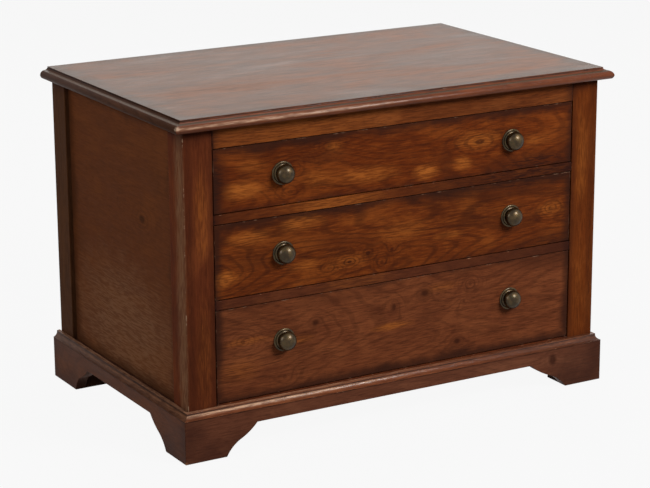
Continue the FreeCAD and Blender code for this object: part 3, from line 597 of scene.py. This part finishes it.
# Plinth. Three oak boards round the front and sides, mitred at the front corners, each cut
# to a bracket foot at its ends, with a round and a fillet worked along the top.
plinth_low, plinth_high = node_box("plinth_front")
face_rise, ledge_rise = 0.082, 0.075
plinth_thickness, plinth_reach = 0.022, 0.0148
apron_rise, knee_rise = 0.0559, 0.0283
lip = 0.0006  # how far the board stands back under its moulding
fillet_reach, round_top, fillet_top, moulding_top = 0.0063, 0.0915, 0.0944, 0.0954
moulding = [Vector((plinth_reach, face_rise))]
moulding += arc((plinth_reach, face_rise), (fillet_reach, round_top), 0.16, 8)
moulding += [Vector((fillet_reach, fillet_top)), Vector((0.0, moulding_top)), Vector((0.0, ledge_rise))]
moulding += [Vector((plinth_reach - plinth_thickness, rise)) for rise in (ledge_rise, face_rise)]


def apron(start, stop, start_foot, stop_foot, start_wing, stop_wing, start_knee, stop_knee):
    """The face of a plinth board under its moulding, from end to end, with the arch between the feet."""
    line = [Vector((start, 0.0)), Vector((start + start_foot, 0.0))]
    line += arc(line[-1], (start + start_foot + start_knee, knee_rise), 0.07, 6)
    line += arc(line[-1], (start + start_foot + start_wing, apron_rise), -0.05, 6)
    line += [Vector((stop - stop_foot - stop_wing, apron_rise))]
    line += arc(line[-1], (stop - stop_foot - stop_knee, knee_rise), -0.05, 6)
    line += arc(line[-1], (stop - stop_foot, 0.0), 0.07, 6)
    line += [Vector((stop, 0.0)), Vector((stop, face_rise)), Vector((start, face_rise))]
    return line


def polished(mesh):
    """Give a worked moulding the second, shinier finish of its board."""
    for face in mesh.faces:
        face.material_index = 1


def mitred(mesh, corner, facing):
    """Cut a board's end off at forty-five degrees through a corner."""
    geometry = mesh.verts[:] + mesh.edges[:] + mesh.faces[:]
    cut = bmesh.ops.bisect_plane(mesh, geom=geometry, dist=merge_distance, plane_co=corner, plane_no=facing,
                                 clear_outer=True)
    edges = [part for part in cut["geom_cut"] if isinstance(part, bmesh.types.BMEdge)]
    bmesh.ops.edgeloop_fill(mesh, edges=edges)


def joined(first, second):
    """Put the faces of a second board in with the first."""
    data = bpy.data.meshes.new("joined")
    second.to_mesh(data)
    second.free()
    first.from_mesh(data)
    bpy.data.meshes.remove(data)
    return first


case_front = node_box("front_left_post")[0].y
case_side = node_box("front_right_post")[1].x
front_corners = [Vector((side * plinth_high.x, plinth_low.y, 0.0)) for side in (-1, 1)]
front_feet = {"start_foot": 0.085, "stop_foot": 0.085, "start_wing": 0.064, "stop_wing": 0.084,
              "start_knee": 0.0274, "stop_knee": 0.037}
side_feet = {"start_foot": 0.082, "stop_foot": 0.103, "start_wing": 0.064, "stop_wing": 0.059,
             "start_knee": 0.0274, "stop_knee": 0.017}
board_ease = 0.0007
border_foot = -0.004  # the toned border goes on a little under the floor, so a foot stays paler
outline = apron(plinth_low.x, plinth_high.x, **front_feet)
pieces = [
    swept([(across, plinth_low.y + lip, up) for across, up in outline], (0.0, plinth_thickness - lip, 0.0)),
    swept([(plinth_low.x, case_front - out, up) for out, up in moulding], (plinth_high.x - plinth_low.x, 0.0, 0.0)),
]
for mesh in pieces:
    mitred(mesh, front_corners[0], (-1.0, 1.0, 0.0))
    mitred(mesh, front_corners[1], (1.0, 1.0, 0.0))
    eased(mesh, board_ease)
polished(pieces[1])
border = (Vector((plinth_low.x, -far, border_foot)), Vector((plinth_high.x, far, far)))
rubbed_tip = ((plinth_low.x, plinth_low.y, 0.0), (1 / 0.006, 1 / 0.006, 1 / 0.005), (184, 128, 84), 0.85)
# painted shade in the moulding's hollow and just under its lip, pale worn arrises, and a painted highlight along the
# side round, as spots
hollow_shade = ((0.0, 0.0, 0.0918), (0.0, 0.0, 1 / 0.0014), (30, 16, 11), 0.95)
lip_shade = ((0.0, 0.0, face_rise - 0.001), (0.0, 0.0, 1 / 0.0014), (36, 20, 14), 0.8)
worn_arris = ((0.0, 0.0, 0.0952), (0.0, 0.0, 1 / 0.0009), (168, 124, 96), 0.6)
# a paler band along the middle of the side round: a painted highlight
side_round_highlight = ((0.0, -0.1, 0.0872), (0.0, 1 / 0.4, 1 / 0.002), (128, 88, 64), 0.6)
dull_foot = ((0.41, plinth_low.y, 0.03), (1 / 0.07, 1.0, 1 / 0.05), (60, 36, 27), 0.6)
front_oak = stained_oak("plinth_front_oak", "X", (0.6, 0.35, 0.9), border, ground=(96, 55, 38), light=(118, 72, 50),
                        flame=0.3, patch=0.6, stroke=0.5, border_width=0.07, border_depth=0.5, wear=0.45, gloss=0.03,
                        spots=[lip_shade, rubbed_tip, dull_foot],
                        knots=[((0.3476, plinth_low.y, 0.06), (90.0, 1.0, 70.0), 0.7, 0.2)])
# the pale line on the front top arris is wear, with a painted highlight that is brightest at the left and fades to
# the right
front_arris_wear_and_highlight = ((-0.35, 0.0, 0.0952), (1 / 0.5, 0.0, 1 / 0.0009), (178, 134, 104), 0.75)
dull_end = ((0.43, 0.0, 0.09), (1 / 0.26, 0.0, 1 / 0.02), (62, 36, 26), 0.8)
# a pale band high on the front round, brightest at the left and fading to the right: a painted highlight
painted_round_highlight = ((-0.33, 0.0, 0.0885), (1 / 0.3, 0.0, 1 / 0.0026), (206, 164, 132), 0.9)
round_oak = stained_oak("plinth_round_oak", "X", (0.6, 0.35, 0.9), border, ground=(112, 62, 38), light=(140, 84, 52),
                        border_width=0.07, border_depth=0.3, wear=0.55, wear_tone=(206, 166, 136),
                        roughness=(0.18, 0.26), gloss=0.16, spots=(painted_round_highlight, hollow_shade, front_arris_wear_and_highlight, dull_end))
dressed("plinth_front_worked", joined(*pieces), "case", (front_oak, round_oak), "stained_oak", "plinth_front")
for hand, side in (("left", -1), ("right", 1)):
    low, high = node_box(f"plinth_{hand}")
    outline = apron(low.y, high.y, **side_feet)
    pieces = [
        swept([(side * (plinth_high.x - lip), along, up) for along, up in outline],
              (-side * (plinth_thickness - lip), 0.0, 0.0)),
        swept([(side * (case_side + out), low.y, up) for out, up in moulding], (0.0, high.y - low.y, 0.0)),
    ]
    for mesh in pieces:
        mitred(mesh, front_corners[0 if side < 0 else 1], (-side, -1.0, 0.0))
        eased(mesh, board_ease)
    polished(pieces[1])
    border = (Vector((-far, low.y, border_foot)), Vector((far, high.y, far)))
    side_oak = stained_oak(f"plinth_{hand}_oak", "Y", (0.3, 0.7, 0.2 + side), border, ground=(86, 50, 33),
                           light=(106, 64, 43), flame=0.3, patch=0.5, stroke=0.4, border_width=0.06, border_depth=0.5,
                           wear=0.4, spots=(lip_shade, rubbed_tip))
    side_round = stained_oak(f"plinth_{hand}_round_oak", "Y", (0.3, 0.7, 0.2 + side), ground=(84, 54, 38),
                             light=(104, 68, 48), wear=0.55, wear_tone=(140, 104, 80), roughness=(0.26, 0.36),
                             gloss=0.02, spots=(side_round_highlight, hollow_shade, worn_arris))
    dressed(f"plinth_{hand}_worked", joined(*pieces), "case", (side_oak, side_round), "stained_oak", f"plinth_{hand}")

# Back, blocks and inner framing. A plain back panel, rear rails, side rails, foot blocks,
# runners, kickers and stops, all in unfinished oak that has darkened with age; the foot
# blocks and side rails are made much darker, as painted shade behind the plinth.
def bare_oak(name, grain, shift, ground, light, dark, patch=0.6):
    """Unfinished oak, sawn or planed, dusty and dry."""
    return stained_oak(name, grain, shift, ground=ground, light=light, dark=dark, flame=0.7, patch=patch, wear=0.0,
                       roughness=(0.6, 0.75))


aged = {"ground": (128, 92, 60), "light": (160, 122, 84), "dark": (70, 48, 32)}
inner_looks = {
    "back_panel": ("Z", (0.2, 0.6, 0.1)), "rear_top_rail": ("X", (0.5, 0.1, 0.4)),
    "rear_bottom_rail": ("X", (1.5, 0.2, 0.9)), "drawer_stops": ("X", (0.3, 0.3, 0.3)),
    "left_kicker": ("Y", (0.9, 0.4, 0.2)), "right_kicker": ("Y", (1.9, 0.4, 0.2)),
}
for level in ("lower", "middle", "upper"):
    for hand in ("left", "right"):
        inner_looks[f"{level}_{hand}_runner"] = ("Y", (0.7 + len(level), 0.3, 0.5 + len(hand)))
for node, (grain, shift) in inner_looks.items():
    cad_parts[node].data.materials.clear()
    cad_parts[node].data.materials.append(bare_oak(f"{node}_oak", grain, shift, **aged))
block_ease = 0.001
for end in ("front", "rear"):
    for hand in ("left", "right"):
        node = f"{end}_{hand}_foot_block"
        low, high = node_box(node)
        # the foot blocks' dark tone is painted shade, for where they sit behind the plinth
        block_shaded_oak = stained_oak(f"{node}_oak", "Z", (0.4 + len(end), 0.2, 0.1 + len(hand)), ground=(58, 32, 22),
                                light=(80, 48, 32), dark=(30, 18, 12), wear=0.1, roughness=(0.5, 0.6))
        dressed(f"{node}_worked", sawn(low, high, block_ease), "case", block_shaded_oak, "drawer_wood", node)
# the side rails take the same dark tone: painted shade
for hand in ("left", "right"):
    node = f"{hand}_side_rail"
    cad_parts[node].data.materials.clear()
    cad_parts[node].data.materials.append(
        stained_oak(f"{node}_oak", "Y", (0.2, 0.9, len(hand)), ground=(58, 32, 22), light=(80, 48, 32), wear=0.0))

# Drawer fronts. Oak boards with plain flat faces, the grain across, each with its own
# knots and rubbed patches and a dark toned border; the middle one has the boldest figure.
front_looks = {
    # knots are x, z, length, height, core, rings; spots are x, z, length, height, tone, share;
    # border_drop and border_lift: how far the toned border lies below and above the front
    "upper": {
        "shift": (0.52, 0.11, 0.33), "border_drop": 0.01, "border_lift": 0.0, "ground": (97, 42, 15),
        "light": (138, 70, 26), "flame": 0.6, "patch": 0.5,
        "knots": [(0.177, 0.519, 0.0193, 0.0083, 0.2, 0.7), (-0.226, 0.519, 0.0086, 0.0074, 0.0, 0.5),
                  (-0.235, 0.476, 0.0107, 0.0074, 0.05, 0.4), (-0.151, 0.551, 0.0086, 0.0056, 0.2, 0.4)],
        "spots": [(-0.331, 0.491, 0.0387, 0.0148, orange, 0.85), (-0.312, 0.534, 0.0301, 0.0111, orange, 0.35),
                  (-0.07, 0.486, 0.0602, 0.0148, orange, 0.6), (0.057, 0.476, 0.0258, 0.013, orange, 0.85),
                  (0.177, 0.522, 0.0473, 0.0167, orange, 0.65), (0.137, 0.483, 0.0193, 0.0148, orange, 0.7),
                  (-0.176, 0.494, 0.0344, 0.0148, orange, 0.4), (0.304, 0.507, 0.0344, 0.013, orange, 0.3),
                  (-0.142, 0.55, 0.0172, 0.0092, orange, 0.5), (0.103, 0.487, 0.0172, 0.0296, umber, 0.55),
                  (-0.176, 0.533, 0.0645, 0.0111, umber, 0.4),
                  (-0.388, 0.514, 0.026, 0.07, umber, 1.0), (0.31, 0.464, 0.12, 0.02, umber, 1.0),
                  (0.373, 0.499, 0.0193, 0.0407, umber, 0.5)]},
    "middle": {
        "shift": (0.12, 0.42, 0.12), "border_drop": 0.02, "border_lift": 0.0, "ground": (99, 45, 17),
        "light": (142, 74, 28), "flame": 0.8, "patch": 0.5,
        "knots": [(-0.11, 0.326, 0.0077, 0.0041, 0.45, 0.8), (-0.154, 0.321, 0.0073, 0.0048, 0.1, 0.6),
                  (-0.07, 0.337, 0.0077, 0.0056, 0.7, 0.3), (-0.018, 0.337, 0.0056, 0.0044, 0.55, 0.25),
                  (-0.04, 0.315, 0.0064, 0.0074, 0.0, 0.5), (-0.368, 0.329, 0.0099, 0.0085, 0.0, 0.4),
                  (0.344, 0.367, 0.0086, 0.0056, 0.1, 0.7)],
        "spots": [(-0.211, 0.417, 0.043, 0.0148, orange, 0.65), (-0.322, 0.402, 0.0387, 0.013, orange, 0.6),
                  (-0.372, 0.333, 0.0258, 0.0148, orange, 0.85), (-0.203, 0.334, 0.0344, 0.0092, orange, 0.5),
                  (0.107, 0.347, 0.0301, 0.0074, orange, 0.5), (0.004, 0.369, 0.0559, 0.0167, orange, 0.3),
                  (0.344, 0.367, 0.0301, 0.013, orange, 0.5), (-0.12, 0.327, 0.0516, 0.0148, orange, 0.35),
                  (0.239, 0.296, 0.1613, 0.013, umber, 0.6), (-0.141, 0.369, 0.0731, 0.013, umber, 0.3),
                  (-0.319, 0.357, 0.043, 0.0148, umber, 0.25),
                  (0.383, 0.313, 0.0129, 0.0259, umber, 0.4), (0.35, 0.3, 0.07, 0.02, umber, 0.8),
                  (0.27, 0.43, 0.22, 0.022, umber, 0.9), (-0.375, 0.414, 0.0129, 0.0185, umber, 0.3)]},
    "lower": {
        "shift": (0.83, 0.23, 0.75), "border_drop": 0.0, "border_lift": 0.012, "ground": (103, 54, 31),
        "light": (130, 73, 42), "flame": 0.5, "patch": 0.45,
        "knots": [(0.056, 0.24, 0.0107, 0.0083, 0.6, 0.2), (-0.013, 0.223, 0.0052, 0.0074, 0.5, 0.15),
                  (-0.183, 0.221, 0.0097, 0.0074, 0.55, 0.2), (0.13, 0.132, 0.0097, 0.0074, 0.6, 0.25),
                  (0.145, 0.21, 0.0054, 0.0041, 0.4, 0.1), (-0.336, 0.209, 0.0086, 0.0056, 0.0, 0.45),
                  (0.159, 0.242, 0.0069, 0.0059, 0.0, 0.5), (-0.249, 0.126, 0.0086, 0.0074, 0.0, 0.2)],
        "spots": [(-0.017, 0.186, 0.0387, 0.0074, orange, 0.6), (0.095, 0.246, 0.0344, 0.0092, orange, 0.25),
                  (-0.33, 0.208, 0.0473, 0.0074, orange, 0.35), (-0.221, 0.193, 0.0301, 0.0074, orange, 0.35),
                  (-0.343, 0.156, 0.0387, 0.0222, orange, 0.25), (0.34, 0.268, 0.1, 0.02, umber, 0.7),
                  (-0.01, 0.106, 0.0968, 0.0111, umber, 0.45),
                  (-0.152, 0.257, 0.086, 0.0092, umber, 0.35), (-0.351, 0.249, 0.0344, 0.0148, umber, 0.2),
                  (0.056, 0.24, 0.0193, 0.0111, umber, 0.6), (-0.183, 0.22, 0.0172, 0.0092, umber, 0.45),
                  (0.13, 0.132, 0.0172, 0.0111, umber, 0.45), (-0.013, 0.221, 0.0086, 0.0111, umber, 0.4),
                  (-0.387, 0.221, 0.0107, 0.0555, umber, 0.35)]},
}


def own_shape(node):
    """A copy of a solid's mesh, its corners merged, its front arrises marked as places that wear."""
    mesh = bmesh.new()
    mesh.from_mesh(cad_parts[node].data)
    bmesh.ops.remove_doubles(mesh, verts=mesh.verts, dist=merge_distance)
    wear = mesh.loops.layers.float_color.new("wear")
    for face in mesh.faces:
        normal = face.normal
        worn = -0.995 < normal.y < -0.05  # turned forward, but not the flat face itself
        for loop in face.loops:
            loop[wear] = (1.0, 1.0, 1.0, 1.0) if worn else (0.0, 0.0, 0.0, 1.0)
    return mesh


for level, look in front_looks.items():
    node = f"{level}_drawer_front"
    low, high = node_box(node)
    border = (Vector((low.x, low.y - far, low.z - look["border_drop"])),
              Vector((high.x, high.y + far, high.z + look["border_lift"])))
    knots = [((x, low.y, z), (1 / long, 1.0, 1 / tall), core, ringed)
             for x, z, long, tall, core, ringed in look["knots"]]
    spots = [((x, low.y, z), (1 / long, 1.0, 1 / tall), tone, share)
             for x, z, long, tall, tone, share in look["spots"]]
    front_oak = stained_oak(f"{node}_oak", "X", look["shift"], border, ground=look["ground"], light=look["light"],
                            flame=look["flame"], patch=look["patch"], border_width=0.028, border_tone=(46, 25, 18),
                            border_depth=0.85, wear=0.56, wear_tone=(112, 82, 64), knots=knots, spots=spots)
    dressed(f"{node}_worked", own_shape(node), f"{level}_drawer", front_oak, "stained_oak", node)

# Drawer boxes. Dovetailed sides, a back housed between them and a bottom that slides in a
# groove, all in plain pale oak gone brown on the edges.
box_tones = {"ground": (150, 112, 72), "light": (182, 144, 98), "dark": (92, 64, 40)}
for level in ("upper", "middle", "lower"):
    turns = {"left_side": "Y", "right_side": "Y", "back": "X", "bottom": "X"}
    for count, (part, grain) in enumerate(turns.items()):
        node = f"{level}_drawer_{part}"
        shift = (0.37 * count + len(level), 0.21 * count, 0.4)
        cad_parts[node].data.materials.clear()
        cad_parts[node].data.materials.append(bare_oak(f"{node}_oak", grain, shift, **box_tones))

# Knobs and backplates. Turned brass, gone brown and green with age: a domed head on a
# short neck, over a round plate turned with two raised rings.


def brass(name, shift):
    """Brass that has aged nearly black in the hollows, with olive and brown tints."""
    material = bpy.data.materials.new(name)
    material.use_nodes = True
    tree = material.node_tree
    skin = tree.nodes["Principled BSDF"]
    place = step(tree, "ShaderNodeTexCoord").outputs["Object"]
    place = step(tree, "ShaderNodeMapping", {"vector_type": "POINT"}, Vector=place, Location=shift).outputs[0]
    cloud = step(tree, "ShaderNodeTexNoise", Vector=place, Scale=90.0, Detail=4.0, Roughness=0.6).outputs[0]
    fine = step(tree, "ShaderNodeTexNoise", Vector=place, Scale=420.0, Detail=3.0).outputs[0]
    shade = tinted(tree, ramp(tree, cloud, 0.38, 0.62), tint(48, 35, 18), tint(72, 55, 30))
    shade = tinted(tree, ramp(tree, fine, 0.55, 0.72), shade, tint(50, 50, 26))
    tree.links.new(shade, skin.inputs["Base Color"])
    skin.inputs["Metallic"].default_value = 0.85
    skin.inputs["Coat Weight"].default_value = 0.2
    skin.inputs["Coat Roughness"].default_value = 0.12
    rough = step(tree, "ShaderNodeMapRange", Value=cloud, To_Min=0.25, To_Max=0.5)
    tree.links.new(rough.outputs[0], skin.inputs["Roughness"])
    bump = step(tree, "ShaderNodeBump", Height=fine, Strength=0.15, Distance=0.0004)
    tree.links.new(bump.outputs[0], skin.inputs["Normal"])
    return material


turn_steps = 64


def lathe(points, centre, face):
    """Turn a profile of (radius, reach) about a line out of the drawer's face."""
    mesh = bmesh.new()
    line = [mesh.verts.new((centre.x + radius, face - reach, centre.z)) for radius, reach in points]
    edges = [mesh.edges.new(pair) for pair in zip(line, line[1:])]
    bmesh.ops.spin(mesh, geom=line + edges, cent=(centre.x, 0.0, centre.z), axis=(0.0, 1.0, 0.0),
                   angle=2 * math.pi, steps=turn_steps, use_merge=True)
    bmesh.ops.remove_doubles(mesh, verts=mesh.verts, dist=merge_distance)
    bmesh.ops.holes_fill(mesh, edges=[edge for edge in mesh.edges if edge.is_boundary], sides=0)
    return mesh


# both profiles are points of (radius, reach out of the drawer's face)
plate_hole, plate_boss, plate_seat = 0.0022, 0.0082, 0.0034
rim_edge, rim_crown = (0.022, 0.0014), (0.019, 0.0028)
ring_foot, ring_crown = (0.018, 0.002), (0.0135, 0.0042)
plate_line = [Vector((plate_hole, 0.0)), Vector((rim_edge[0], 0.0)), Vector(rim_edge)]
plate_line += arc(rim_edge, rim_crown, -0.15, 5)
plate_line += [Vector(ring_foot)]
plate_line += arc(ring_foot, ring_crown, -0.15, 5)
plate_line += [Vector((plate_boss, plate_seat)), Vector((plate_hole, plate_seat)), Vector((plate_hole, 0.0))]
neck_foot, neck_top = (0.008, plate_seat), (0.0055, 0.0059)
knob_line = [Vector((0.0, plate_seat)), Vector(neck_foot)]
knob_line += arc(neck_foot, neck_top, 0.18, 5)
head_radius, head_middle, head_dome, head_back = 0.0185, 0.011, 0.0145, 0.0045
head_from, head_to, head_steps = -60, 90, 24  # degrees round the head, from its neck to its crown
for index in range(head_steps + 1):
    angle = math.radians(head_from + index * (head_to - head_from) / head_steps)
    height = head_dome if angle > 0 else head_back
    knob_line.append(Vector((head_radius * math.cos(angle), head_middle + height * math.sin(angle))))
turned_smooth = 35.0  # degrees, the sharpest edge that still shades as round
drawer_front = node_box("upper_drawer_front")[0].y
for level in ("upper", "middle", "lower"):
    for count, hand in enumerate(("left", "right")):
        low, high = node_box(f"{level}_{hand}_knob")
        centre = (low + high) / 2
        metal = brass(f"{level}_{hand}_brass", (0.13 * count + len(level), 0.2, 0.3 * count))
        knob = lathe(knob_line, centre, drawer_front)
        dressed(f"{level}_{hand}_turned_knob", knob, f"{level}_drawer", metal, "aged_brass",
                f"{level}_{hand}_knob", smooth=turned_smooth)
        plate = lathe(plate_line, centre, drawer_front)
        dressed(f"{level}_{hand}_turned_plate", plate, f"{level}_drawer", metal, "aged_brass",
                f"{level}_backplates", smooth=turned_smooth)

# Screws. Plain steel wood screws in the top and back, and the screws of the knobs, dull
# with age.
steel = bpy.data.materials.new("dull_steel")
steel.use_nodes = True
tree = steel.node_tree
skin = tree.nodes["Principled BSDF"]
place = step(tree, "ShaderNodeTexCoord").outputs["Object"]
rust = step(tree, "ShaderNodeTexNoise", Vector=place, Scale=260.0, Detail=4.0).outputs[0]
shade = tinted(tree, ramp(tree, rust, 0.45, 0.65), tint(140, 138, 134), tint(92, 68, 50))
tree.links.new(shade, skin.inputs["Base Color"])
skin.inputs["Metallic"].default_value = 0.9
tree.links.new(ramp(tree, rust, 0.1, 1.1), skin.inputs["Roughness"])
for node in ("case_screws", "upper_knob_screws", "middle_knob_screws", "lower_knob_screws"):
    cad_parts[node].data.materials.clear()
    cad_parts[node].data.materials.append(steel)
